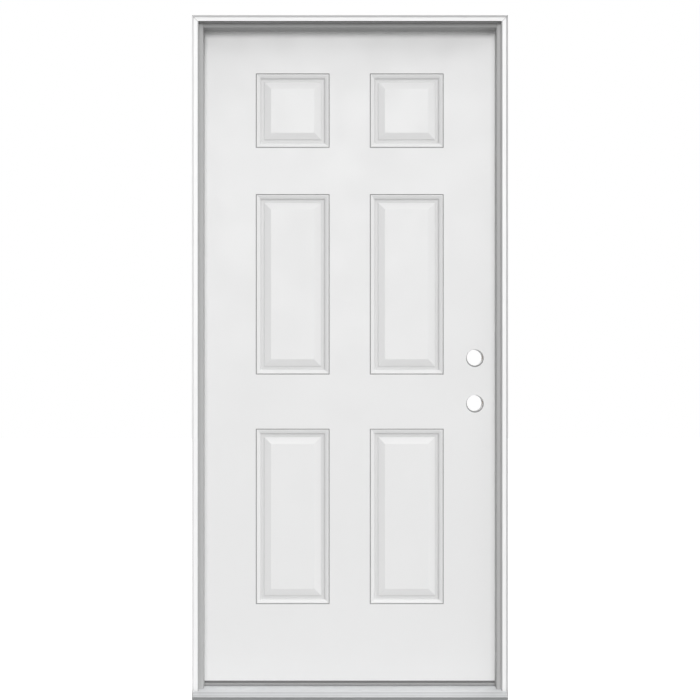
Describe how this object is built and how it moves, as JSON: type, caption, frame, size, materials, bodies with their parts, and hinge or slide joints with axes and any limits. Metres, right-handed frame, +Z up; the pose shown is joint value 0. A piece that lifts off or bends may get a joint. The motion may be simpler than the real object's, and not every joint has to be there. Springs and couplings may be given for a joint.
{
  "type": "panelled front door with its frame",
  "caption": "Six-panel steel entrance door leaf hung on butt hinges in a rabbeted jamb frame with an aluminium threshold, seals and bored lock edge.",
  "frame": {"origin": "on the threshold's underside, midway between the jambs, in the plane of the frame's exterior edge", "axes": "+Z up, +Y from outdoors to indoors through the leaf, +X to the right as seen from outdoors, with the hinges on the -X side and the lock bores on the +X side"},
  "size_m": [0.9524, 0.157, 2.07],
  "materials": {
    "white_steel": "satin white enamel on pressed steel",
    "white_trim": "smooth white rigid vinyl",
    "primed_wood": "light grey primer over softwood",
    "bare_wood": "planed unfinished softwood",
    "core_foam": "rigid foam",
    "seal_vinyl": "soft vinyl skin over foam",
    "pad_foam": "dense foam",
    "mill_aluminium": "mill finish with fine extrusion lines",
    "sill_composite": "moulded composite",
    "cap_vinyl": "matte grey rigid vinyl",
    "sweep_vinyl": "flexible dark grey vinyl",
    "hinge_steel": "satin nickel plate",
    "zinc_screw": "bright zinc plate"
  },
  "bodies": {
    "frame": {"hinge_jamb": "primed_wood", "strike_jamb": "primed_wood", "head_jamb": "primed_wood", "hinge_side_trim": "white_trim", "strike_side_trim": "white_trim", "head_trim": "white_trim", "hinge_side_seal": "seal_vinyl", "strike_side_seal": "seal_vinyl", "head_seal": "seal_vinyl", "corner_pads": "pad_foam", "sill_deck": "mill_aluminium", "sill_substrate": "sill_composite", "sill_cap": "cap_vinyl", "cap_screws": "zinc_screw", "head_screws": "zinc_screw", "sill_screws": "zinc_screw", "top_hinge_frame_flap": "hinge_steel", "middle_hinge_frame_flap": "hinge_steel", "bottom_hinge_frame_flap": "hinge_steel", "top_hinge_pin": "hinge_steel", "middle_hinge_pin": "hinge_steel", "bottom_hinge_pin": "hinge_steel", "frame_hinge_screws": "hinge_steel"},
    "leaf": {"top_hinge_leaf_flap": "hinge_steel", "middle_hinge_leaf_flap": "hinge_steel", "bottom_hinge_leaf_flap": "hinge_steel", "leaf_hinge_screws": "hinge_steel", "skin_exterior": "white_steel", "skin_interior": "white_steel", "hinge_stile": "bare_wood", "lock_stile": "bare_wood", "top_rail": "bare_wood", "bottom_rail": "bare_wood", "lock_block": "bare_wood", "foam_core": "core_foam", "bottom_sweep": "sweep_vinyl", "sweep_screws": "zinc_screw"}
  },
  "joints": [
    {"name": "leaf_swing", "type": "hinge", "parent": "frame", "child": "leaf", "pos_m": [-0.45565, 0.1232, 1], "axis": [0, 0, 1], "range_deg": [0, 170]}
  ]
}
